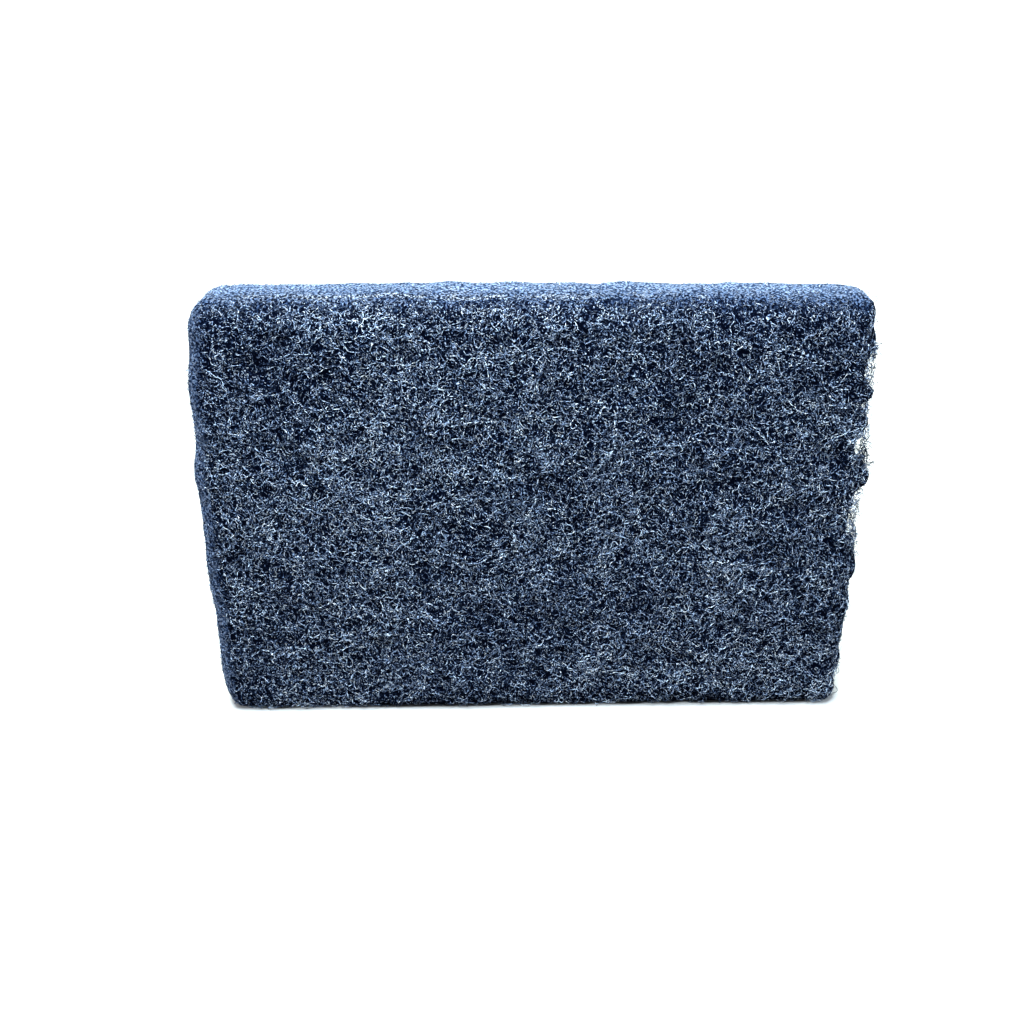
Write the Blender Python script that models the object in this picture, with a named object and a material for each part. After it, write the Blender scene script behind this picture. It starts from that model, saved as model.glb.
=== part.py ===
"""A hand scrubbing pad, standing on its long lower edge.

The pad is one thick block of springy non-woven web: crimped synthetic fibres that are bonded
with resin where they cross. It is cut to a rectangle with softly worn corners, and its surface
is uneven, with small tufts and pits where the web is denser or more open.

Units are metres. X runs along the pad, Y through its thickness and Z up. The origin is on the
surface that the pad stands on, under its middle.
"""

import math

import bmesh
import bpy
from mathutils import Vector, noise

# Size of the block
PAD_LENGTH = 0.152
PAD_THICKNESS = 0.020
PAD_HEIGHT = 0.102

# Corners of its outline, as seen from the front
TOP_LEFT_RADIUS = 0.007
TOP_RIGHT_RADIUS = 0.005
FOOT_LEFT_RADIUS = 0.0055
FOOT_RIGHT_RADIUS = 0.0035

# Rounding of the edges between the outline and the two broad faces
TOP_EDGE_ROUNDING = 0.0065
END_EDGE_ROUNDING = 0.0055
FOOT_EDGE_ROUNDING = 0.0030

# The ends bow outwards half way up, and the top edge falls away towards them
LEFT_END_BOW = 0.0018
RIGHT_END_BOW = 0.0022
TOP_CROWN = 0.0006

# Slow unevenness of the broad faces and of the two cut ends
FACE_WAVE_LENGTH = 0.042
FACE_WAVE_HEIGHT = 0.0007
END_WAVE_LENGTH = 0.017
END_WAVE_HEIGHT = 0.0007

# Tufts stand out of the whole surface, and pits are small gaps in the web of the broad faces,
# which grow shallow towards the firm rim
TUFT_SIZE = 0.0062
TUFT_HEIGHT = 0.0007
PIT_SPACING = 0.0105
PIT_WIDTH = 0.0070
PIT_DEPTH = 0.0019
FIRM_RIM = 0.009

# The right end is torn: within this reach of it, gaps open in this share of the web
TORN_REACH = 0.007
TORN_GAP_SIZE = 0.0065
TORN_DEPTH = 0.0019
TORN_SHARE = 0.4

# The web is pressed flat under the pad, and the unevenness grows to its full height above that
FOOT_PRESSED = 0.0002
FOOT_FADE = 0.005

# Largest face of the mesh along any side
CELL = 0.0030

WEB_COLOUR = (0.045, 0.067, 0.108, 1.0)
WEB_ROUGHNESS = 0.55

# Each pattern is read from its own place in the noise, so that none repeats another
FACE_WAVE_PLACE = Vector((3.1, 7.7, 1.9))
END_WAVE_PLACE = Vector((1.6, 6.5, 8.8))
TUFT_PLACE = Vector((6.5, 8.2, 6.7))
PIT_PLACE = Vector((0.7, 9.3, 4.8))
TORN_PLACE = Vector((4.8, 3.2, 4.5))


def clear_scene():
    for obj in list(bpy.data.objects):
        bpy.data.objects.remove(obj, do_unlink=True)


def eased(share):
    """0 to 1, with a level start and end."""
    share = min(max(share, 0.0), 1.0)
    return share * share * (3.0 - 2.0 * share)


def arc_from_square(across, up):
    """Moves a point of a square's quarter onto the arc of the ring that it lies on."""
    distance = math.hypot(across, up)
    if distance == 0.0:
        return across, up
    ring = max(across, up) / distance
    return across * ring, up * ring


def corner_radius(x, z):
    """The outline's radius at the corner nearest to a point, limited by the block itself."""
    if z > PAD_HEIGHT / 2:
        radius = TOP_LEFT_RADIUS if x < 0 else TOP_RIGHT_RADIUS
    else:
        radius = FOOT_LEFT_RADIUS if x < 0 else FOOT_RIGHT_RADIUS
    return min(radius, PAD_LENGTH / 2, PAD_HEIGHT / 2)


def outlined(x, z):
    """A point of the front view with its corner rounded, its way out and its depth inside."""
    radius = corner_radius(x, z)
    side = math.copysign(1.0, x)
    end = math.copysign(1.0, z - PAD_HEIGHT / 2)
    from_end = PAD_LENGTH / 2 - abs(x)
    from_rim = PAD_HEIGHT / 2 - abs(z - PAD_HEIGHT / 2)
    across = radius - from_end
    up = radius - from_rim
    if across > 0 and up > 0:
        arc_across, arc_up = arc_from_square(across, up)
        x += side * (arc_across - across)
        z += end * (arc_up - up)
        reach = math.hypot(arc_across, arc_up)
        outward = (side * arc_across / reach, end * arc_up / reach)
        return x, z, outward, radius - reach
    if from_end < from_rim:
        return x, z, (side, 0.0), from_end
    return x, z, (0.0, end), from_rim


def edge_rounding(outward):
    """The edge's rounding where the outline faces this way, limited by half the thickness."""
    along, up = outward
    upright = TOP_EDGE_ROUNDING if up > 0 else FOOT_EDGE_ROUNDING
    rounding = END_EDGE_ROUNDING * along * along + upright * up * up
    return min(rounding, PAD_THICKNESS / 2)


def rounded(x, y, z):
    """A point of the plain block, moved onto the block with all its corners and edges rounded."""
    x, z, outward, depth = outlined(x, z)
    rounding = edge_rounding(outward)
    inner_half = PAD_THICKNESS / 2 - rounding
    inward = rounding - depth
    through = abs(y) - inner_half
    if inward > 0 and through > 0:
        arc_inward, arc_through = arc_from_square(inward, through)
        x -= outward[0] * (inward - arc_inward)
        z -= outward[1] * (inward - arc_inward)
        y = math.copysign(inner_half + arc_through, y)
    return Vector((x, y, z))


def bowed(point):
    """The ends bow out half way up, and the top falls away towards them."""
    level = point.z / PAD_HEIGHT
    towards_end = (point.x / (PAD_LENGTH / 2)) ** 2
    pulled_in = 1.0 - 4.0 * level * (1.0 - level)
    bow = LEFT_END_BOW if point.x < 0 else RIGHT_END_BOW
    x = point.x - math.copysign(bow * pulled_in * towards_end, point.x)
    return Vector((x, point.y, point.z - TOP_CROWN * towards_end * level))


def waved(point):
    """The slow unevenness of the faces and ends, above the straight edges of the foot."""
    face = noise.noise(point / FACE_WAVE_LENGTH + FACE_WAVE_PLACE)
    end = noise.noise(point / END_WAVE_LENGTH + END_WAVE_PLACE)
    towards_face = point.y / (PAD_THICKNESS / 2)
    # An odd power grows late, near the ends, and keeps the side's sign
    towards_end = (point.x / (PAD_LENGTH / 2)) ** 3
    moved = Vector((END_WAVE_HEIGHT * end * towards_end, FACE_WAVE_HEIGHT * face * towards_face, 0.0))
    return moved * eased(point.z / FOOT_FADE)


def relief(point):
    """How far the surface stands out at a point: tufts, less the pits and the torn gaps."""
    tuft = TUFT_HEIGHT * noise.noise(point / TUFT_SIZE + TUFT_PLACE)
    to_pit = noise.voronoi(point / PIT_SPACING + PIT_PLACE)[0][0] * PIT_SPACING
    from_rim = outlined(point.x, point.z)[3]
    pit = PIT_DEPTH * eased(1.0 - to_pit / (PIT_WIDTH / 2)) * eased(from_rim / FIRM_RIM)
    torn = eased((point.x - (PAD_LENGTH / 2 - TORN_REACH)) / TORN_REACH)
    gap = TORN_SHARE + noise.noise(point / TORN_GAP_SIZE + TORN_PLACE)
    return (tuft - pit - torn * TORN_DEPTH * eased(gap)) * eased(point.z / FOOT_FADE)


def lattice_quads(counts):
    """The surface of a box of cells: corners as whole steps, and quads that face outwards."""
    steps = {}
    quads = []

    def corner(place):
        return steps.setdefault(tuple(place), len(steps))

    for axis in range(3):
        first, second = (axis + 1) % 3, (axis + 2) % 3
        for far in (False, True):
            for i in range(counts[first]):
                for j in range(counts[second]):
                    quad = []
                    for di, dj in ((0, 0), (1, 0), (1, 1), (0, 1)):
                        place = [0, 0, 0]
                        place[axis] = counts[axis] if far else 0
                        place[first] = i + di
                        place[second] = j + dj
                        quad.append(corner(place))
                    quads.append(quad if far else quad[::-1])
    return list(steps), quads


def pad_mesh():
    """The block's lattice, rounded, bowed and made uneven, then stood over the origin."""
    size = (PAD_LENGTH, PAD_THICKNESS, PAD_HEIGHT)
    counts = [max(2, round(length / CELL)) for length in size]
    steps, quads = lattice_quads(counts)

    shape = bmesh.new()
    for step in steps:
        share = [step[axis] / counts[axis] for axis in range(3)]
        x = (share[0] - 0.5) * PAD_LENGTH
        y = (share[1] - 0.5) * PAD_THICKNESS
        point = bowed(rounded(x, y, share[2] * PAD_HEIGHT))
        shape.verts.new(point + waved(point))
    shape.verts.ensure_lookup_table()
    for quad in quads:
        shape.faces.new([shape.verts[index] for index in quad])
    shape.normal_update()

    moved = [vert.co + vert.normal * relief(vert.co) for vert in shape.verts]
    low = [min(point[axis] for point in moved) for axis in range(2)]
    high = [max(point[axis] for point in moved) for axis in range(2)]
    middle = Vector(((low[0] + high[0]) / 2, (low[1] + high[1]) / 2, 0.0))
    for vert, point in zip(shape.verts, moved):
        vert.co = point - middle
        if vert.co.z < FOOT_PRESSED:
            vert.co.z = 0.0

    mesh = bpy.data.meshes.new("scrub_pad")
    shape.to_mesh(mesh)
    shape.free()
    mesh.shade_smooth()
    return mesh


def web_material():
    material = bpy.data.materials.new("fibre_web")
    material.use_nodes = True
    shader = material.node_tree.nodes["Principled BSDF"]
    shader.inputs["Base Color"].default_value = WEB_COLOUR
    shader.inputs["Roughness"].default_value = WEB_ROUGHNESS
    shader.inputs["Metallic"].default_value = 0.0
    return material


clear_scene()
pad = bpy.data.objects.new("scrub_pad", pad_mesh())
pad.data.materials.append(web_material())
bpy.context.scene.collection.objects.link(pad)
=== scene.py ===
"""A hand scrubbing pad of open, springy fibre web, standing on its long lower edge."""

import math

import bmesh
import bpy
import numpy as np
from mathutils import Matrix, Vector
from mathutils.bvhtree import BVHTree


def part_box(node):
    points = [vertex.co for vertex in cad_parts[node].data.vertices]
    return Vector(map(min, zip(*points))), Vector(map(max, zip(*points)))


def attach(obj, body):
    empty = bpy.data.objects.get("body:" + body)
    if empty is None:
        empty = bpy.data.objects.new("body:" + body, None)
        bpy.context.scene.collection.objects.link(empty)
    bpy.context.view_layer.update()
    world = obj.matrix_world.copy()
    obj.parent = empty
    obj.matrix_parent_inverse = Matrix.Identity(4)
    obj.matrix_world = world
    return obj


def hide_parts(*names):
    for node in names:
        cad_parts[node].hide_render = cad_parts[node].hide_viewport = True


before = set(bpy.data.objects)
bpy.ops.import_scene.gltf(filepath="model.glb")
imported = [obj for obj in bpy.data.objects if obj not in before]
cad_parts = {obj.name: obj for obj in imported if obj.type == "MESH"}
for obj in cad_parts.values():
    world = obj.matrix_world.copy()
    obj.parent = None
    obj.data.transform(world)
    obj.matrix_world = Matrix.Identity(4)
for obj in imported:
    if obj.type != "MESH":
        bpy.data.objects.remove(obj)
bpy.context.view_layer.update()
pad_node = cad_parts["scrub_pad"]


# The heart of the pad: the web below its loose surface, where the fibres lie so close that
# they read as one dark mass, painted near black as shade between its strands and coils. It is the
# same block of fibre as the rest, so nothing joins it.

# How deep it lies, and how deep its pits are, on the rim and on the broad faces
HEART_DEPTH = (0.00016, 0.0004)
HEART_PIT_DEPTH = (0.00015, 0.0010)
HEART_FACE = (0.3, 0.9)
HEART_PIT_SIZE = 0.0026
HEART_PIT_SEED = 5
HEART_FOOT = 0.0004
WELD_DISTANCE = 1e-6

# The torn right end: where gaps run through the web, the heart lies further back
TORN_END_REACH = 0.006
TORN_END_RECESS = 0.0040
TORN_GAP_SIZE = 0.0032
TORN_GAP_SEED = 6
TORN_GAP_SHARE = 0.5
TORN_GAP_STEEPNESS = 2.0
TORN_GAP_THROUGH = 0.15
TORN_GAP_START = (0.020, 0.032)
TORN_GAP_END = (0.094, 0.082)

# The resin's colours by tone: the near-black low end is painted shade for the gaps, the middle is
# the resin's own dark blue, and the near-white top end is a painted highlight on the glossy crowns
RESIN_TONES = ((0.0, (0.0002, 0.0008, 0.0042, 1.0)), (0.25, (0.005, 0.011, 0.029, 1.0)),
               (0.50, (0.032, 0.052, 0.105, 1.0)), (0.75, (0.315, 0.400, 0.575, 1.0)),
               (1.0, (0.850, 0.930, 1.000, 1.0)))
TINT_SCALE = 1500.0
WARM_TINT = (1.05, 1.00, 0.96, 1.0)
COOL_TINT = (0.88, 1.00, 1.10, 1.0)

# How the tone varies over the web: small dark gaps of painted shade, slow patches and a fine
# painted sparkle
GAP_SCALE = 800.0
GAP_DETAIL = 1.0
GAP_EDGE = (0.29, 0.40)
GAP_PAINTED_SHADE = 0.35
PATCH_SCALE = 48.0
PATCH_RANGE = (0.95, 1.05)
SPARKLE_SCALE = 2600.0
SPARKLE_RANGE = (0.5, 1.34)

# The fine pale fuzz of the worn top and of the cut left end, with painted sheen on both: the back
# of the top is painted palest, for light from above and behind, and the left end paler, for light from
# the left
FUZZ_SCALE = 2000.0
FUZZ_GRAIN = 0.65
FUZZ_AND_SHEEN_CONTRAST = 0.42
FUZZ_AND_SHEEN_LIFT = (0.21, 0.365)
FUZZ_AND_SHEEN_START = 0.6
FUZZ_AND_SHEEN_EDGE = (0.84, 1.22)
FUZZ_AND_SHEEN_SOFTENING = 0.62
TOP_FUZZ_AND_SHEEN = 1.0
TOP_FUZZ_AND_SHEEN_ACROSS = (-0.014, 0.006)
TOP_FUZZ_AND_SHEEN_UPWARD = (0.15, 0.90)
END_FUZZ_AND_SHEEN = 0.62
END_FUZZ_AND_SHEEN_OUTWARD = (0.10, 0.80)

# Strands that lie side by side: each layer's turn, scale, seed and height; the height also sets
# how bright it is painted, so higher layers get painted light
STRAND_LAYERS = (((0.3, 0.0, 0.4), 500.0, 1.0, 0.60), ((0.9, 1.1, 0.0), 525.0, 4.0, 0.52))
STRAND_BENDING = 9.0
STRAND_BEND_SCALE = 1.2
STRAND_EDGE = (0.80, 1.0)
STRETCH_SCALE = 1200.0
STRETCH_EDGE = (0.46, 0.60)

# Coils of fibre seen end on: each layer's shift, scale and height; the height also sets how bright
# it is painted, so higher layers get painted light
LOOP_LAYERS = (((0.011, 0.017, 0.005), 680.0, 0.98), ((0.037, 0.002, 0.029), 590.0, 0.90),
               ((0.005, 0.043, 0.013), 780.0, 0.82), ((0.023, 0.031, 0.047), 520.0, 0.74))
LOOP_RADIUS = 0.42
LOOP_THREAD = 0.055
LOOP_BEND_SCALE = 900.0
LOOP_BEND = (0.0008, 0.0008, 0.0008)
LOOP_STRETCH_SCALE = 1000.0

# The finish of the dense web, from its dark gaps to its crowns
HEART_SPECULAR = 0.02
HEART_ROUGHNESS = (1.0, 0.25)
HEART_COAT_POWER = 3.0
HEART_COAT_ROUGHNESS = 0.25
HEART_RELIEF = 0.00035

# The narrow and the wide range that a noise texture's values mostly lie in
NOISE_MIDDLE = (0.35, 0.65)
NOISE_WHOLE = (0.3, 0.7)

# Which sockets of a Mix node hold its share and its two colours, and which puts out their mix
COLOUR_MIX_INPUTS = (0, 6, 7)
COLOUR_MIX_OUTPUT = 2

# The table of random values behind the noise that shapes meshes, and where reading it starts
NOISE_CELLS = 32
NOISE_START = 100.0

pad_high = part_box("scrub_pad")[1]


def linked_mesh(name, mesh):
    piece = bpy.data.objects.new(name, mesh)
    bpy.context.scene.collection.objects.link(piece)
    return piece


def smoothed(share):
    share = np.clip(share, 0.0, 1.0)
    return share * share * (3.0 - 2.0 * share)


def between(values, limits):
    """0 at the first limit and below, 1 at the second and above, and eased from one to the other."""
    return smoothed((values - limits[0]) / (limits[1] - limits[0]))


def value_noise(points, size, seed):
    """Smooth noise from -1 to 1 at each point, with lumps of about this size."""
    rng = np.random.default_rng(seed)
    table = rng.uniform(-1.0, 1.0, (NOISE_CELLS, NOISE_CELLS, NOISE_CELLS))
    place = points / size + NOISE_START
    cell = np.floor(place).astype(int)
    part = place - cell
    part = part * part * (3.0 - 2.0 * part)
    total = np.zeros(len(points))
    for corner in np.ndindex(2, 2, 2):
        share = np.prod(np.where(np.array(corner), part, 1.0 - part), axis=1)
        at = (cell + np.array(corner)) % NOISE_CELLS
        total += share * table[at[:, 0], at[:, 1], at[:, 2]]
    return total


def node_group(name, inputs, outputs):
    """An empty node group with these sockets, and its input and output nodes."""
    group = bpy.data.node_groups.new(name, "ShaderNodeTree")
    for socket, kind in inputs:
        group.interface.new_socket(name=socket, in_out="INPUT", socket_type="NodeSocket" + kind)
    for socket, kind in outputs:
        group.interface.new_socket(name=socket, in_out="OUTPUT", socket_type="NodeSocket" + kind)
    return group, group.nodes.new("NodeGroupInput"), group.nodes.new("NodeGroupOutput")


def join_up(tree, value, socket):
    """Feeds a socket from another node's output, or sets it to a plain value."""
    if isinstance(value, bpy.types.NodeSocket):
        tree.links.new(value, socket)
    else:
        socket.default_value = value


def noise_at(tree, place, scale, detail=0.0, seed=None):
    node = tree.nodes.new("ShaderNodeTexNoise")
    node.inputs["Scale"].default_value = scale
    node.inputs["Detail"].default_value = detail
    tree.links.new(place, node.inputs["Vector"])
    if seed is not None:
        node.noise_dimensions = "4D"
        tree.links.new(seed, node.inputs["W"])
    return node.outputs["Fac"]


def ranged(tree, value, low, high, to_low=0.0, to_high=1.0):
    """A value eased from one range to another."""
    node = tree.nodes.new("ShaderNodeMapRange")
    node.interpolation_type = "SMOOTHSTEP"
    for name, amount in (("Value", value), ("From Min", low), ("From Max", high),
                         ("To Min", to_low), ("To Max", to_high)):
        join_up(tree, amount, node.inputs[name])
    return node.outputs["Result"]


def worked_out(tree, kind, first, second):
    node = tree.nodes.new("ShaderNodeMath")
    node.operation = kind
    join_up(tree, first, node.inputs[0])
    join_up(tree, second, node.inputs[1])
    return node.outputs[0]


def blended(tree, share, first, second):
    node = tree.nodes.new("ShaderNodeMix")
    for name, value in (("Factor", share), ("A", first), ("B", second)):
        join_up(tree, value, node.inputs[name])
    return node.outputs["Result"]


def fibre_strand_group():
    """Thin curled strands that lie side by side, each seen in short stretches."""
    group, given, made = node_group("fibre strands", (("Vector", "Vector"), ("Way", "Vector"),
                                                      ("Scale", "Float"), ("Seed", "Float")),
                                    (("Strand", "Float"),))
    turned = group.nodes.new("ShaderNodeVectorRotate")
    turned.rotation_type = "EULER_XYZ"
    group.links.new(given.outputs["Vector"], turned.inputs["Vector"])
    group.links.new(given.outputs["Way"], turned.inputs["Rotation"])
    wave = group.nodes.new("ShaderNodeTexWave")
    wave.inputs["Distortion"].default_value = STRAND_BENDING
    wave.inputs["Detail"].default_value = 0.0
    wave.inputs["Detail Scale"].default_value = STRAND_BEND_SCALE
    group.links.new(turned.outputs[0], wave.inputs["Vector"])
    group.links.new(given.outputs["Scale"], wave.inputs["Scale"])
    group.links.new(given.outputs["Seed"], wave.inputs["Phase Offset"])
    thin = ranged(group, wave.outputs["Fac"], *STRAND_EDGE)
    stretch = noise_at(group, given.outputs["Vector"], STRETCH_SCALE, seed=given.outputs["Seed"])
    shown = ranged(group, stretch, *STRETCH_EDGE)
    group.links.new(worked_out(group, "MULTIPLY", thin, shown), made.inputs["Strand"])
    return group


def fibre_loop_group():
    """Coils of fibre seen end on: thin rings of many sizes, out of round and broken by others."""
    group, given, made = node_group("fibre loops", (("Vector", "Vector"), ("Shift", "Vector"),
                                                    ("Scale", "Float")), (("Loop", "Float"),))
    wobble = group.nodes.new("ShaderNodeTexNoise")
    wobble.inputs["Scale"].default_value = LOOP_BEND_SCALE
    wobble.inputs["Detail"].default_value = 0.0
    group.links.new(given.outputs["Vector"], wobble.inputs["Vector"])
    bent = group.nodes.new("ShaderNodeVectorMath")
    bent.operation = "MULTIPLY_ADD"
    group.links.new(wobble.outputs["Color"], bent.inputs[0])
    bent.inputs[1].default_value = LOOP_BEND
    group.links.new(given.outputs["Vector"], bent.inputs[2])
    shifted = group.nodes.new("ShaderNodeVectorMath")
    group.links.new(bent.outputs[0], shifted.inputs[0])
    group.links.new(given.outputs["Shift"], shifted.inputs[1])
    cells = group.nodes.new("ShaderNodeTexVoronoi")
    group.links.new(shifted.outputs[0], cells.inputs["Vector"])
    group.links.new(given.outputs["Scale"], cells.inputs["Scale"])
    from_ring = worked_out(group, "SUBTRACT", cells.outputs["Distance"], LOOP_RADIUS)
    from_ring = worked_out(group, "ABSOLUTE", from_ring, 0.0)
    thread = ranged(group, from_ring, LOOP_THREAD, 0.0)
    shown = ranged(group, noise_at(group, shifted.outputs[0], LOOP_STRETCH_SCALE), *STRETCH_EDGE)
    group.links.new(worked_out(group, "MULTIPLY", thread, shown), made.inputs["Loop"])
    return group


def web_tone(tree, place, tone, fuzz_and_sheen):
    """The tone with dark gaps of painted shade all over, which the fuzz and sheen fill, with slow
    patches and a fine painted sparkle.
    """
    # Painted shade: small gaps are darkened where the web's hollows would lie in shade.
    gaps = ranged(tree, noise_at(tree, place, GAP_SCALE, GAP_DETAIL), *GAP_EDGE, GAP_PAINTED_SHADE, 1.0)
    gaps = worked_out(tree, "MAXIMUM", gaps, fuzz_and_sheen)
    patches = ranged(tree, noise_at(tree, place, PATCH_SCALE), *NOISE_WHOLE, *PATCH_RANGE)
    # Painted glints: the fine sparkle raises and lowers the tone in small specks.
    sparkle = ranged(tree, noise_at(tree, place, SPARKLE_SCALE), *NOISE_MIDDLE, *SPARKLE_RANGE)
    for share in (gaps, patches, sparkle):
        tone = worked_out(tree, "MULTIPLY", tone, share)
    return tone


def tone_under_fuzz_and_sheen(tree, place, tone, fuzz_and_sheen):
    """The tone under fine fuzz and painted sheen, which cover the web hair by hair and are paler and
    more even.
    """
    hair = noise_at(tree, place, FUZZ_SCALE)
    grain = ranged(tree, hair, *NOISE_MIDDLE)
    # Painted sheen: the fuzz share lifts the tone and evens it, paler where the light falls.
    lift = ranged(tree, fuzz_and_sheen, 0.0, 1.0, *FUZZ_AND_SHEEN_LIFT)
    evened = worked_out(tree, "MULTIPLY", blended(tree, FUZZ_GRAIN, tone, grain), FUZZ_AND_SHEEN_CONTRAST)
    evened = worked_out(tree, "ADD", evened, lift)
    share = worked_out(tree, "POWER", fuzz_and_sheen, FUZZ_AND_SHEEN_START)
    cover = ranged(tree, worked_out(tree, "ADD", share, hair), *FUZZ_AND_SHEEN_EDGE)
    kept = ranged(tree, share, 0.0, 1.0, 1.0, FUZZ_AND_SHEEN_SOFTENING)
    return blended(tree, cover, worked_out(tree, "MULTIPLY", tone, kept), evened)


def resin_shade(tree, place, tone):
    """The resin's colour at this tone, a little warmer or cooler from spot to spot."""
    # The ramp's near-black low end is painted shade and its near-white top end a painted highlight.
    ramp = tree.nodes.new("ShaderNodeValToRGB")
    for level, colour in RESIN_TONES[1:-1]:
        ramp.color_ramp.elements.new(level).color = colour
    ramp.color_ramp.elements[0].color = RESIN_TONES[0][1]
    ramp.color_ramp.elements[-1].color = RESIN_TONES[-1][1]
    tree.links.new(tone, ramp.inputs["Fac"])
    share = ranged(tree, noise_at(tree, place, TINT_SCALE), *NOISE_MIDDLE)
    tint = tree.nodes.new("ShaderNodeMix")
    tint.data_type = "RGBA"
    for socket, value in zip(COLOUR_MIX_INPUTS, (share, WARM_TINT, COOL_TINT)):
        join_up(tree, value, tint.inputs[socket])
    tinted = tree.nodes.new("ShaderNodeVectorMath")
    tinted.operation = "MULTIPLY"
    tree.links.new(ramp.outputs["Color"], tinted.inputs[0])
    tree.links.new(tint.outputs[COLOUR_MIX_OUTPUT], tinted.inputs[1])
    return tinted.outputs["Vector"]


def resin_colour_group():
    """The resin's colour and final tone, from its tone before the painted shade of the gaps, the
    painted sparkle and the fuzz and painted sheen.
    """
    group, given, made = node_group("resin colour", (("Vector", "Vector"), ("Tone", "Float"),
                                                     ("Fuzz and sheen", "Float")),
                                    (("Color", "Color"), ("Tone", "Float")))
    place, fuzz_and_sheen = given.outputs["Vector"], given.outputs["Fuzz and sheen"]
    tone = web_tone(group, place, given.outputs["Tone"], fuzz_and_sheen)
    tone = tone_under_fuzz_and_sheen(group, place, tone, fuzz_and_sheen)
    group.links.new(resin_shade(group, place, tone), made.inputs["Color"])
    group.links.new(tone, made.inputs["Tone"])
    return group


fibre_strands = fibre_strand_group()
fibre_loops = fibre_loop_group()
resin_colour = resin_colour_group()


def resin_coloured(tree, place, tone):
    """The resin's colour and tone at a place, with the fuzz and painted sheen that the mesh holds."""
    fuzz_and_sheen = tree.nodes.new("ShaderNodeAttribute")
    fuzz_and_sheen.attribute_name = "fuzz_and_sheen"
    resin = tree.nodes.new("ShaderNodeGroup")
    resin.node_tree = resin_colour
    tree.links.new(place, resin.inputs["Vector"])
    tree.links.new(tone, resin.inputs["Tone"])
    tree.links.new(fuzz_and_sheen.outputs["Fac"], resin.inputs["Fuzz and sheen"])
    return resin.outputs["Color"], resin.outputs["Tone"]


def heart_material():
    """Coils and strands of fine fibre in layers that each lie their own way. Those of the upper
    layers stand higher and are painted brighter, and the deeper ones darker, as painted light and
    shade."""
    material = bpy.data.materials.new("dense fibre mass")
    material.use_nodes = True
    tree = material.node_tree
    shader = tree.nodes["Principled BSDF"]
    shader.inputs["Specular IOR Level"].default_value = HEART_SPECULAR
    shader.inputs["Coat Roughness"].default_value = HEART_COAT_ROUGHNESS
    place = tree.nodes.new("ShaderNodeTexCoord").outputs["Object"]
    highest = 0.0
    for shift, scale, level in LOOP_LAYERS:
        loops = tree.nodes.new("ShaderNodeGroup")
        loops.node_tree = fibre_loops
        loops.inputs["Shift"].default_value = shift
        loops.inputs["Scale"].default_value = scale
        tree.links.new(place, loops.inputs["Vector"])
        height = worked_out(tree, "MULTIPLY", loops.outputs["Loop"], level)
        highest = worked_out(tree, "MAXIMUM", height, highest)
    for turned, scale, seed, level in STRAND_LAYERS:
        strands = tree.nodes.new("ShaderNodeGroup")
        strands.node_tree = fibre_strands
        strands.inputs["Way"].default_value = turned
        strands.inputs["Scale"].default_value = scale
        strands.inputs["Seed"].default_value = seed
        tree.links.new(place, strands.inputs["Vector"])
        height = worked_out(tree, "MULTIPLY", strands.outputs["Strand"], level)
        highest = worked_out(tree, "MAXIMUM", highest, height)
    # Where no strand or coil shows, the tone is near black: painted shade.
    colour, tone = resin_coloured(tree, place, highest)
    tree.links.new(colour, shader.inputs["Base Color"])
    coat = worked_out(tree, "POWER", tone, HEART_COAT_POWER)
    tree.links.new(coat, shader.inputs["Coat Weight"])
    rough = ranged(tree, tone, 0.0, 1.0, *HEART_ROUGHNESS)
    tree.links.new(rough, shader.inputs["Roughness"])
    bump = tree.nodes.new("ShaderNodeBump")
    bump.inputs["Strength"].default_value = 1.0
    bump.inputs["Distance"].default_value = HEART_RELIEF
    tree.links.new(highest, bump.inputs["Height"])
    tree.links.new(bump.outputs["Normal"], shader.inputs["Normal"])
    return material


def rim_fuzz_and_sheen(points, ways):
    """How much fine pale fuzz and painted sheen the web has at each point: most along the back of
    the worn top, painted light from above and behind, and some on the cut left end, painted light
    from the left."""
    # The top's share rises toward the back: painted sheen for light from above and behind. The left
    # end's share is painted light from the left.
    on_top = between(points[:, 1], TOP_FUZZ_AND_SHEEN_ACROSS) * between(ways[:, 2], TOP_FUZZ_AND_SHEEN_UPWARD)
    on_end = between(-ways[:, 0], END_FUZZ_AND_SHEEN_OUTWARD)
    return np.maximum(TOP_FUZZ_AND_SHEEN * on_top, END_FUZZ_AND_SHEEN * on_end)


def torn_open(points):
    """How far the right end's web is torn open at each point: the gaps go right through it."""
    place = points * (1.0, TORN_GAP_THROUGH, 1.0)
    noise = value_noise(place, TORN_GAP_SIZE, TORN_GAP_SEED)
    gaps = smoothed(TORN_GAP_STEEPNESS * noise + TORN_GAP_SHARE)
    gaps *= between(points[:, 0], (pad_high.x - TORN_END_REACH, pad_high.x))
    return gaps * between(points[:, 2], TORN_GAP_START) * between(points[:, 2], TORN_GAP_END)


def keep_on_points(mesh, label, values):
    kept = mesh.attributes.new(label, "FLOAT", "POINT")
    kept.data.foreach_set("value", values.astype(np.float32))


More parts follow.
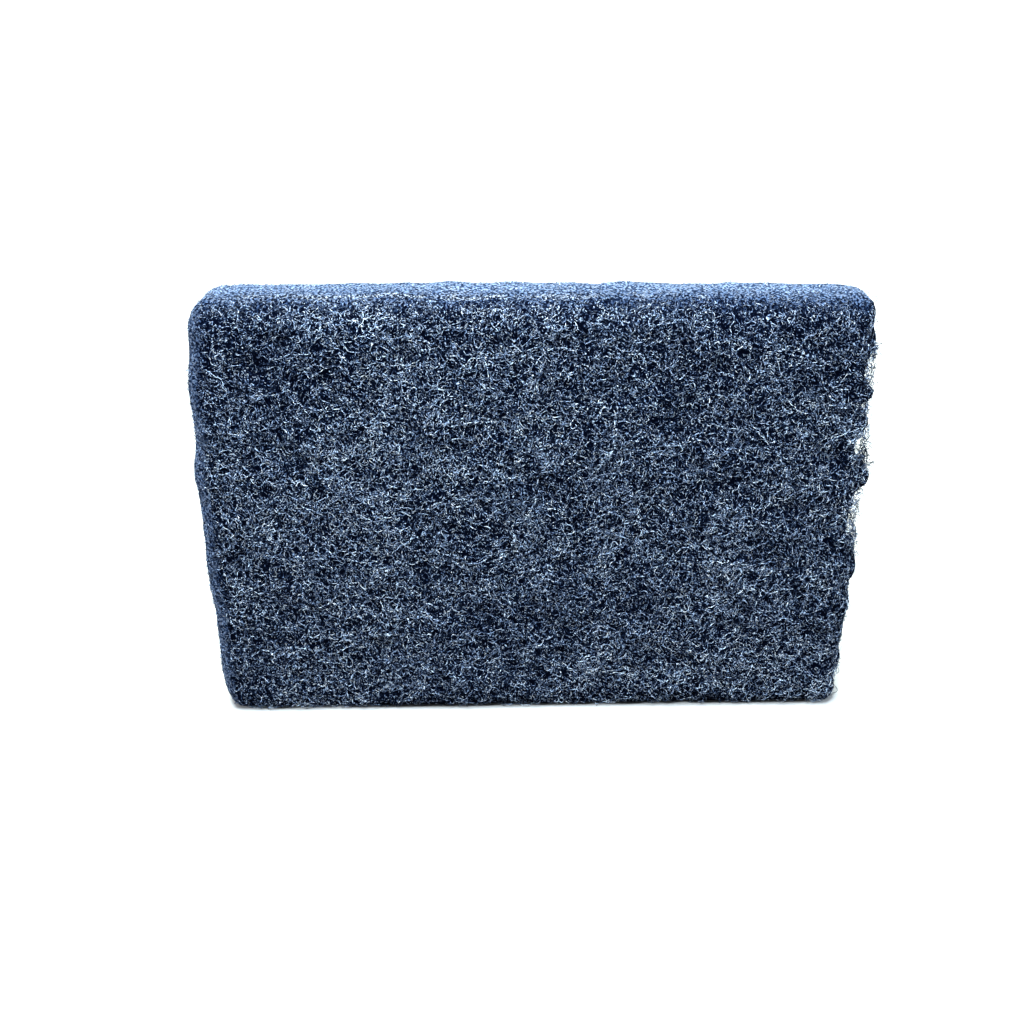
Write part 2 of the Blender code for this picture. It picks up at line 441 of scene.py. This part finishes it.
def heart_mesh():
    """The pad's own surface at half its cell size, drawn in a little, with small pits."""
    shape = bmesh.new()
    shape.from_mesh(pad_node.data)
    bmesh.ops.remove_doubles(shape, verts=shape.verts, dist=WELD_DISTANCE)
    bmesh.ops.triangulate(shape, faces=shape.faces)
    bmesh.ops.subdivide_edges(shape, edges=shape.edges, cuts=1, use_grid_fill=True)
    shape.normal_update()
    points = np.array([vert.co for vert in shape.verts])
    ways = np.array([vert.normal for vert in shape.verts])
    pits = np.clip(value_noise(points, HEART_PIT_SIZE, HEART_PIT_SEED), 0.0, 1.0)
    torn = torn_open(points)
    fuzz_and_sheen = rim_fuzz_and_sheen(points, ways)
    on_face = between(np.abs(ways[:, 1]), HEART_FACE)
    depth = np.interp(on_face, (0, 1), HEART_DEPTH) + pits * np.interp(on_face, (0, 1), HEART_PIT_DEPTH)
    points = points - ways * depth[:, None]
    points[:, 0] -= torn * TORN_END_RECESS
    points[:, 2] = np.maximum(points[:, 2], HEART_FOOT)
    for vert, point in zip(shape.verts, points):
        vert.co = point
    mesh = bpy.data.meshes.new("pad_heart")
    shape.to_mesh(mesh)
    shape.free()
    # The fuzz share is pale fuzz and painted sheen together.
    keep_on_points(mesh, "fuzz_and_sheen", fuzz_and_sheen)
    mesh.shade_smooth()
    return mesh


heart = linked_mesh("pad_heart", heart_mesh())
heart.data.materials.append(heart_material())
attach(heart, "root")
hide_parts("scrub_pad")


# The loose web over the heart: single crimped fibres with a glossy resin coat. They coil over
# and under each other in every direction, and are bonded to each other where they cross.

# One fibre is a thin closed tube with this many sides and steps along it
FIBRE_SIDES = 3
FIBRE_STEPS = 24
FIBRE_RADIUS = 0.000063
FIBRE_RADIUS_SPREAD = 0.15
STEP_LENGTH = 0.00046

# The way a fibre sets out, and how it curls, twists and stays in its layer of the web
START_WAYS = (1.0, 1.0, 0.5)
START_FLATTENING = 0.6
CURL_RADIUS = 0.00084
CURL_SPREAD = 0.28
STEADY_CURL = 0.35
CRIMP_LENGTHS = (2.6, 5.2)
TWIST_SHARES = (0.15, 0.9)
FLATTENING = 0.12
TURN_BACK = 0.45
TURN_BACK_LIMIT = 1.5
TURN_BACK_POWER = 3
FLOOR_CLEARANCE = 0.00016

# The tone of the fibres, which is painted darker deep in the web as shade, and is darker on loose or
# torn fibres
TONE_STEPS = 3
TONE_ALONG = (0.50, 0.86)
TONE_OF_FIBRES = (0.7, 1.0)
SUNK_DEPTHS = (0.0, 0.0016)
SUNK_PAINTED_SHADE = 0.5
LOOSE_HEIGHTS = (0.0002, 0.0007)
LOOSE_SHADE = 0.70

# Where fibres lie: how squarely a face, an end and the foot look their own way, and how the
# fibres clump and thin out
FACE_FACING = 0.6
END_FACING = 0.25
FOOT_FACING = -0.9
FOOT_SHARE = 0.25
CLUMP_SIZE = 0.0030
CLUMPING = 0.20
FRONT_CLUMP_SEED = 21
BACK_CLUMP_SEED = 22
TORN_THINNING = 0.6

# The strip of the flat map that each fibre unrolls in: its shape, its margin and its two caps
STRIP_SHAPE = 26
STRIP_MARGIN = 0.08
CAP_START = 0.3

FIBRE_SPECULAR = 0.15
FIBRE_COAT_ROUGHNESS = 0.14
FIBRE_GLOSS_SCALE = 260.0
FIBRE_ROUGHNESS = (0.20, 0.45)

# A way that no fibre runs in exactly, which its first ring is turned from, and the least length
# that a way is divided by
ODD_WAY = (0.31, 0.53, 0.79)
LEAST_LENGTH = 1e-12

surface_tree = BVHTree.FromPolygons([tuple(vert.co) for vert in pad_node.data.vertices],
                                    [tuple(face.vertices) for face in pad_node.data.polygons])


def nearest_surface(points):
    """The pad's surface nearest to each point, and its way out there."""
    places, ways = [], []
    for point in points.tolist():
        place, way, _, _ = surface_tree.find_nearest(point)
        places.append(place)
        ways.append(way)
    return np.array(places), np.array(ways)


def along(vectors):
    """The same ways with a length of one."""
    return vectors / np.maximum(np.linalg.norm(vectors, axis=-1, keepdims=True), LEAST_LENGTH)


def dot(first, second):
    return (first * second).sum(-1, keepdims=True)


def scattered(rng, count, weigh):
    """Points spread over the pad's surface, thicker where weigh(points, ways) is larger."""
    mesh = pad_node.data
    mesh.calc_loop_triangles()
    corners = np.array([triangle.vertices for triangle in mesh.loop_triangles])
    places = np.array([vert.co for vert in mesh.vertices])
    a, b, c = (places[corners[:, i]] for i in range(3))
    normal = np.cross(b - a, c - a)
    area = np.linalg.norm(normal, axis=1) / 2
    share = area * weigh((a + b + c) / 3, along(normal))
    chosen = rng.choice(len(share), count, p=share / share.sum())
    u, v = np.sqrt(rng.uniform(size=count)), rng.uniform(size=count)
    parts = np.stack([1 - u, u * (1 - v), u * v], 1)
    found = np.einsum("nk,nkd->nd", parts, places[corners[chosen]])
    return found, along(normal)[chosen]


def walk_fibres(rng, start, way, shallow, deep):
    """Leads every fibre at once along a crimped path that bends to and fro while its plane
    turns over, and bends it back into the web where it would leave this layer of it."""
    count = len(start)
    place = start - way * rng.uniform(shallow, deep, count)[:, None]
    heading = rng.normal(size=(count, 3)) * START_WAYS
    heading = along(heading - START_FLATTENING * way * dot(heading, way))
    bend = along(np.cross(heading, rng.normal(size=(count, 3))))
    curl = 1 / (CURL_RADIUS * np.exp(rng.normal(0.0, CURL_SPREAD, count)))
    steady = rng.normal(0.0, STEADY_CURL, count)
    crimp = rng.uniform(*CRIMP_LENGTHS, count) * CURL_RADIUS
    twist = rng.uniform(*TWIST_SHARES, count) * curl
    phase = rng.uniform(0, 2 * np.pi, count)
    middle, half = (shallow + deep) / 2, (deep - shallow) / 2
    paths, depths, outs = [], [], []
    for step in range(FIBRE_STEPS + 1):
        surface, out = nearest_surface(place)
        depth = dot(surface - place, out)
        paths.append(place.copy())
        depths.append(depth[:, 0])
        outs.append(out)
        travelled = step * STEP_LENGTH
        angle = curl * (steady + np.sin(2 * np.pi * travelled / crimp + phase)) * STEP_LENGTH
        ahead = heading * np.cos(angle)[:, None] + bend * np.sin(angle)[:, None]
        strayed = np.clip((depth - middle) / half, -TURN_BACK_LIMIT, TURN_BACK_LIMIT)
        back = TURN_BACK * strayed ** TURN_BACK_POWER * out
        heading = along(ahead + back - FLATTENING * out * dot(ahead, out))
        bend = along(bend - heading * dot(bend, heading))
        roll = twist * STEP_LENGTH
        bend = bend * np.cos(roll)[:, None] + np.cross(heading, bend) * np.sin(roll)[:, None]
        place = place + heading * STEP_LENGTH
        place[:, 2] = np.maximum(place[:, 2], FLOOR_CLEARANCE)
    return np.stack(paths, 1), np.stack(depths, 1), np.stack(outs, 1)


def strip_corners(count):
    """Where each face corner lies on the flat: every fibre is unrolled in a strip of its own."""
    columns = max(1, round(math.sqrt(count / STRIP_SHAPE)))
    rows = math.ceil(count / columns)
    strip = np.arange(count)
    corner = np.stack([strip % columns, strip // columns], -1).astype(float)
    inside = 1.0 - 2.0 * STRIP_MARGIN
    steps = np.arange(FIBRE_STEPS)[:, None, None] + np.array((0, 0, 1, 1))
    sides = np.arange(FIBRE_SIDES)[:, None] + np.array((0, 1, 1, 0))
    steps, sides = np.broadcast_arrays(steps / FIBRE_STEPS, sides / FIBRE_SIDES)
    unrolled = np.stack([steps, sides], -1).reshape(-1, 2) * inside + STRIP_MARGIN
    turns = np.arange(FIBRE_SIDES) / FIBRE_SIDES
    cap = np.stack([turns * STRIP_MARGIN / 2, turns * (1.0 - turns) + CAP_START], -1)
    parts = (unrolled, cap, cap + (1.0 - STRIP_MARGIN / 2, 0.0))
    placed = [(corner[:, None] + part) / (columns, rows) for part in parts]
    return np.concatenate([part.reshape(-1, 2) for part in placed])


def fibre_mesh(name, paths, radius, kept):
    """Closed tubes along the paths, with the kept values of each fibre's rings on its points."""
    count, rings = paths.shape[:2]
    ahead = along(np.gradient(paths, axis=1))
    across = np.empty_like(paths)
    across[:, 0] = along(np.cross(ahead[:, 0], ODD_WAY))
    for ring in range(1, rings):
        carried = across[:, ring - 1]
        across[:, ring] = along(carried - ahead[:, ring] * dot(carried, ahead[:, ring]))
    upwards = np.cross(ahead, across)
    turns = np.arange(FIBRE_SIDES) * 2 * np.pi / FIBRE_SIDES
    spokes = (across[:, :, None] * np.cos(turns)[:, None]
              + upwards[:, :, None] * np.sin(turns)[:, None])
    points = paths[:, :, None] + spokes * radius[:, None, None, None]
    points[..., 2] = np.maximum(points[..., 2], 0.0)

    ring_at = np.arange(count * rings).reshape(count, rings) * FIBRE_SIDES
    near = ring_at[:, :-1, None] + np.arange(FIBRE_SIDES)
    near_next = ring_at[:, :-1, None] + (np.arange(FIBRE_SIDES) + 1) % FIBRE_SIDES
    quads = np.stack([near, near_next, near_next + FIBRE_SIDES, near + FIBRE_SIDES], -1)
    first = ring_at[:, 0, None] + np.arange(FIBRE_SIDES)[::-1]
    last = ring_at[:, -1, None] + np.arange(FIBRE_SIDES)
    corners = np.concatenate([quads.reshape(-1), first.reshape(-1), last.reshape(-1)])
    sizes = np.concatenate([np.full(quads.size // 4, 4), np.full(2 * count, FIBRE_SIDES)])

    mesh = bpy.data.meshes.new(name)
    mesh.vertices.add(points.size // 3)
    mesh.vertices.foreach_set("co", points.astype(np.float32).ravel())
    mesh.loops.add(len(corners))
    mesh.loops.foreach_set("vertex_index", corners.astype(np.int32))
    mesh.polygons.add(len(sizes))
    starts = np.concatenate([[0], np.cumsum(sizes)[:-1]])
    mesh.polygons.foreach_set("loop_start", starts.astype(np.int32))
    mesh.update(calc_edges=True)
    flat = mesh.uv_layers.new(name="OFBake")
    flat.uv.foreach_set("vector", strip_corners(count).astype(np.float32).ravel())
    for label, values in kept.items():
        keep_on_points(mesh, label, np.repeat(values.ravel(), FIBRE_SIDES))
    mesh.shade_smooth()
    return mesh


def fibre_material():
    material = bpy.data.materials.new("resin coated fibre")
    material.use_nodes = True
    tree = material.node_tree
    shader = tree.nodes["Principled BSDF"]
    shader.inputs["Specular IOR Level"].default_value = FIBRE_SPECULAR
    shader.inputs["Coat Roughness"].default_value = FIBRE_COAT_ROUGHNESS
    place = tree.nodes.new("ShaderNodeTexCoord").outputs["Object"]
    tone = tree.nodes.new("ShaderNodeAttribute")
    tone.attribute_name = "tone"
    colour, shown_tone = resin_coloured(tree, place, tone.outputs["Fac"])
    tree.links.new(colour, shader.inputs["Base Color"])
    tree.links.new(shown_tone, shader.inputs["Coat Weight"])
    rough = ranged(tree, noise_at(tree, place, FIBRE_GLOSS_SCALE), *NOISE_WHOLE, *FIBRE_ROUGHNESS)
    tree.links.new(rough, shader.inputs["Roughness"])
    return material


coated_fibre = fibre_material()


def fibre_tones(rng, count, brightness):
    """The tone at each ring of each fibre: it drifts along the fibre, and some are brighter."""
    knots = rng.uniform(0.0, 1.0, (count, FIBRE_STEPS // TONE_STEPS + 2))
    at = np.arange(FIBRE_STEPS + 1) / TONE_STEPS
    whole, part = at.astype(int), smoothed(at % 1)
    tone = knots[:, whole] * (1 - part) + knots[:, whole + 1] * part
    return np.interp(tone, (0, 1), TONE_ALONG) * brightness * rng.uniform(*TONE_OF_FIBRES, (count, 1))


def web_piece(name, weigh, seed, count, shallow, deep, brightness):
    """A layer of fibres that lie between two depths, where weigh(points, ways) allows."""
    rng = np.random.default_rng(seed)
    start, way = scattered(rng, count, weigh)
    paths, depths, outs = walk_fibres(rng, start, way, shallow, deep)
    radius = FIBRE_RADIUS * np.exp(rng.normal(0.0, FIBRE_RADIUS_SPREAD, count))
    tone = fibre_tones(rng, count, brightness)
    # Painted shade: fibres deeper in the web are darkened.
    tone = tone * (1.0 - SUNK_PAINTED_SHADE * between(depths, SUNK_DEPTHS))
    loose = between(-depths, LOOSE_HEIGHTS)
    torn = torn_open(paths.reshape(-1, 3)).reshape(depths.shape)
    tone = tone * (1.0 - LOOSE_SHADE * np.maximum(loose, torn))
    # The fuzz share is pale fuzz and painted sheen together.
    fuzz_and_sheen = rim_fuzz_and_sheen(paths.reshape(-1, 3), outs.reshape(-1, 3))
    piece = linked_mesh(name, fibre_mesh(name, paths, radius, {"tone": tone, "fuzz_and_sheen": fuzz_and_sheen}))
    piece.data.materials.append(coated_fibre)
    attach(piece, "root")
    return paths


def on_face(points, ways, side, seed):
    """One broad face, with the fibres in clumps and fewer of them where the web is torn."""
    whole = 1.0 - TORN_THINNING * torn_open(points)
    clumps = np.exp(CLUMPING * value_noise(points, CLUMP_SIZE, seed))
    return (side * ways[:, 1] > FACE_FACING) * whole * clumps


def on_front(points, ways):
    return on_face(points, ways, -1, FRONT_CLUMP_SEED)


def on_back(points, ways):
    return on_face(points, ways, 1, BACK_CLUMP_SEED)


def on_torn_end(points, ways):
    """The cut of the right end, where the web is torn."""
    return (points[:, 0] > pad_high.x - TORN_END_REACH) * (ways[:, 0] > END_FACING).astype(float)


def on_rim(points, ways):
    """The top, the ends and the rounded edges, with little under the foot."""
    rim = (np.abs(ways[:, 1]) <= FACE_FACING).astype(float)
    whole = 1.0 - TORN_THINNING * torn_open(points)
    return rim * whole * np.where(ways[:, 2] < FOOT_FACING, FOOT_SHARE, 1.0)


# On the front the deeper layers are given less brightness than the top one: painted shade.
front_paths = [
    web_piece("front_under_fibres", on_front, seed=11, count=1270,
              shallow=0.0001, deep=0.0008, brightness=1.0),
    web_piece("front_middle_fibres", on_front, seed=12, count=1280,
              shallow=0.0, deep=0.0006, brightness=1.1),
    web_piece("front_top_fibres", on_front, seed=13, count=1290,
              shallow=-0.0002, deep=0.0004, brightness=1.15)]
rim_paths = [
    web_piece("rim_fibres", on_rim, seed=14, count=1080,
              shallow=0.0001, deep=0.0008, brightness=1.1),
    web_piece("torn_end_fibres", on_torn_end, seed=15, count=340,
              shallow=-0.0010, deep=0.0042, brightness=1.2)]
back_paths = [
    web_piece("back_top_fibres", on_back, seed=16, count=1100,
              shallow=-0.0002, deep=0.0008, brightness=1.0)]


# Resin beads: small hard drops of the resin and its grit, which set where fibres cross. They
# shine more than the fibres do, and each is stuck to the fibre that it sits on.
BEAD_COUNTS = (520, 160, 200)
BEAD_RADIUS = (0.00010, 0.00022)
BEAD_STRETCH = (0.7, 1.2)
BEAD_TONE = (0.45, 1.0)
BEAD_SEED = 31
BEAD_COAT_ROUGHNESS = 0.08
BEAD_GLOSS_SCALE = 900.0
BEAD_ROUGHNESS = (0.15, 0.35)


def bead_mesh():
    rng = np.random.default_rng(BEAD_SEED)
    shape = bmesh.new()
    bmesh.ops.create_icosphere(shape, subdivisions=1, radius=1.0)
    ball = np.array([vert.co for vert in shape.verts])
    facets = np.array([[vert.index for vert in face.verts] for face in shape.faces])
    shape.free()
    points, faces, tones = [], [], []
    for count, pieces in zip(BEAD_COUNTS, (front_paths, rim_paths, back_paths)):
        every = np.concatenate(pieces).reshape(-1, 3)
        for centre in every[rng.choice(len(every), count, replace=False)]:
            size = rng.uniform(*BEAD_RADIUS) * rng.uniform(*BEAD_STRETCH, 3)
            faces.append(facets + len(points) * len(ball))
            points.append(ball * size + centre)
            tones.append(np.full(len(ball), rng.uniform(*BEAD_TONE)))
    points = np.concatenate(points)
    points[:, 2] = np.maximum(points[:, 2], 0.0)
    mesh = bpy.data.meshes.new("resin_beads")
    mesh.from_pydata(points.tolist(), [], np.concatenate(faces).tolist())
    keep_on_points(mesh, "tone", np.concatenate(tones))
    mesh.shade_smooth()
    return mesh


def bead_material():
    material = bpy.data.materials.new("hard resin")
    material.use_nodes = True
    tree = material.node_tree
    shader = tree.nodes["Principled BSDF"]
    shader.inputs["Coat Weight"].default_value = 1.0
    shader.inputs["Coat Roughness"].default_value = BEAD_COAT_ROUGHNESS
    place = tree.nodes.new("ShaderNodeTexCoord").outputs["Object"]
    tone = tree.nodes.new("ShaderNodeAttribute")
    tone.attribute_name = "tone"
    colour, _ = resin_coloured(tree, place, tone.outputs["Fac"])
    tree.links.new(colour, shader.inputs["Base Color"])
    rough = ranged(tree, noise_at(tree, place, BEAD_GLOSS_SCALE), *NOISE_WHOLE, *BEAD_ROUGHNESS)
    tree.links.new(rough, shader.inputs["Roughness"])
    return material


beads = linked_mesh("resin_beads", bead_mesh())
beads.data.materials.append(bead_material())
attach(beads, "root")


# The stage: a pale floor that runs far back, under soft light from above, behind, in front and
# both ends. Floor and sky are brighter to the camera than the light that they throw on the pad.
FLOOR_SIDE = 14.0
FLOOR_LIT = 0.08
FLOOR_SEEN = 0.46
FLOOR_ROUGHNESS = 0.9
SKY_COLOUR = (0.93, 0.96, 1.0, 1.0)
SKY_LIT = 0.20
SKY_SEEN = 1.10
FAR_LIGHT_WIDTH = math.radians(20)


def seen_brighter(tree, lit, seen, socket):
    """Feeds a socket one value where the camera sees it, and another where it lights the pad."""
    path = tree.nodes.new("ShaderNodeLightPath")
    value = tree.nodes.new("ShaderNodeMapRange")
    value.inputs["To Min"].default_value = lit
    value.inputs["To Max"].default_value = seen
    tree.links.new(path.outputs["Is Camera Ray"], value.inputs["Value"])
    tree.links.new(value.outputs["Result"], socket)


def floor_mesh():
    half = FLOOR_SIDE / 2
    corners = [(-half, -half, 0), (half, -half, 0), (half, half, 0), (-half, half, 0)]
    mesh = bpy.data.meshes.new("floor")
    mesh.from_pydata(corners, [], [(0, 1, 2, 3)])
    return mesh


def floor_material():
    material = bpy.data.materials.new("pale floor")
    material.use_nodes = True
    shader = material.node_tree.nodes["Principled BSDF"]
    shader.inputs["Roughness"].default_value = FLOOR_ROUGHNESS
    seen_brighter(material.node_tree, FLOOR_LIT, FLOOR_SEEN, shader.inputs["Base Color"])
    return material


def far_light(name, way, power, colour):
    sun = bpy.data.lights.new(name, "SUN")
    sun.energy = power
    sun.color = colour
    sun.angle = FAR_LIGHT_WIDTH
    holder = bpy.data.objects.new(name, sun)
    bpy.context.scene.collection.objects.link(holder)
    holder.rotation_euler = Vector(way).to_track_quat("-Z", "Y").to_euler()


def near_light(name, way, distance, size, power, colour):
    """A square lamp at this distance from the pad's middle, whose light falls off past it."""
    lamp = bpy.data.lights.new(name, "AREA")
    lamp.size = size
    lamp.energy = power
    lamp.color = colour
    holder = bpy.data.objects.new(name, lamp)
    bpy.context.scene.collection.objects.link(holder)
    holder.location = Vector((0, 0, pad_high.z / 2)) - Vector(way).normalized() * distance
    holder.rotation_euler = Vector(way).to_track_quat("-Z", "Y").to_euler()


floor = linked_mesh("floor", floor_mesh())
floor.data.materials.append(floor_material())

far_light("overhead light", way=(0.10, 0.12, -1.0), power=4.9, colour=(0.79, 0.89, 0.92))
far_light("back light", way=(0.10, -0.75, -0.9), power=6.2, colour=(0.80, 0.89, 0.82))
near_light("front light", way=(0.10, 0.70, -1.0), distance=0.28, size=0.10, power=1.36,
           colour=(0.82, 0.93, 0.98))
far_light("left light", way=(0.95, 0.25, -0.5), power=2.6, colour=(0.86, 0.92, 1.0))
far_light("right light", way=(-0.95, 0.20, -0.5), power=3.0, colour=(0.74, 0.87, 1.0))

world = bpy.data.worlds.new("studio")
bpy.context.scene.world = world
world.use_nodes = True
sky = world.node_tree.nodes["Background"]
sky.inputs["Color"].default_value = SKY_COLOUR
seen_brighter(world.node_tree, SKY_LIT, SKY_SEEN, sky.inputs["Strength"])
bpy.context.scene.view_settings.view_transform = "Standard"


# The camera looks down on the front face from a little to the left of its middle. Its lens and
# the place of the pad's middle are measured in pixels of the square picture.
IMAGE_SIDE = 1024.0
FOCAL_PIXELS = 1350.0
PAD_MIDDLE_IN_IMAGE = (533.9, 499.7)
SENSOR_WIDTH = 36.0
NEAREST_SEEN = 0.01
CAMERA_DISTANCE = 0.3128
CAMERA_PITCH = 25.4
CAMERA_YAW = 2.36
CAMERA_ROLL = 0.6

view = bpy.data.cameras.new("camera")
view.sensor_width = SENSOR_WIDTH
view.lens = FOCAL_PIXELS / IMAGE_SIDE * view.sensor_width
view.shift_x = (IMAGE_SIDE / 2 - PAD_MIDDLE_IN_IMAGE[0]) / IMAGE_SIDE
view.shift_y = (PAD_MIDDLE_IN_IMAGE[1] - IMAGE_SIDE / 2) / IMAGE_SIDE
view.clip_start = NEAREST_SEEN
camera = bpy.data.objects.new("camera", view)
bpy.context.scene.collection.objects.link(camera)
turn = Matrix.Rotation(math.radians(-CAMERA_YAW), 4, "Z")
tip = Matrix.Rotation(math.radians(90 - CAMERA_PITCH), 4, "X")
roll = Matrix.Rotation(math.radians(CAMERA_ROLL), 4, "Z")
aim = Matrix.Translation((0, 0, pad_high.z / 2))
camera.matrix_world = aim @ turn @ tip @ roll @ Matrix.Translation((0, 0, CAMERA_DISTANCE))
bpy.context.scene.camera = camera
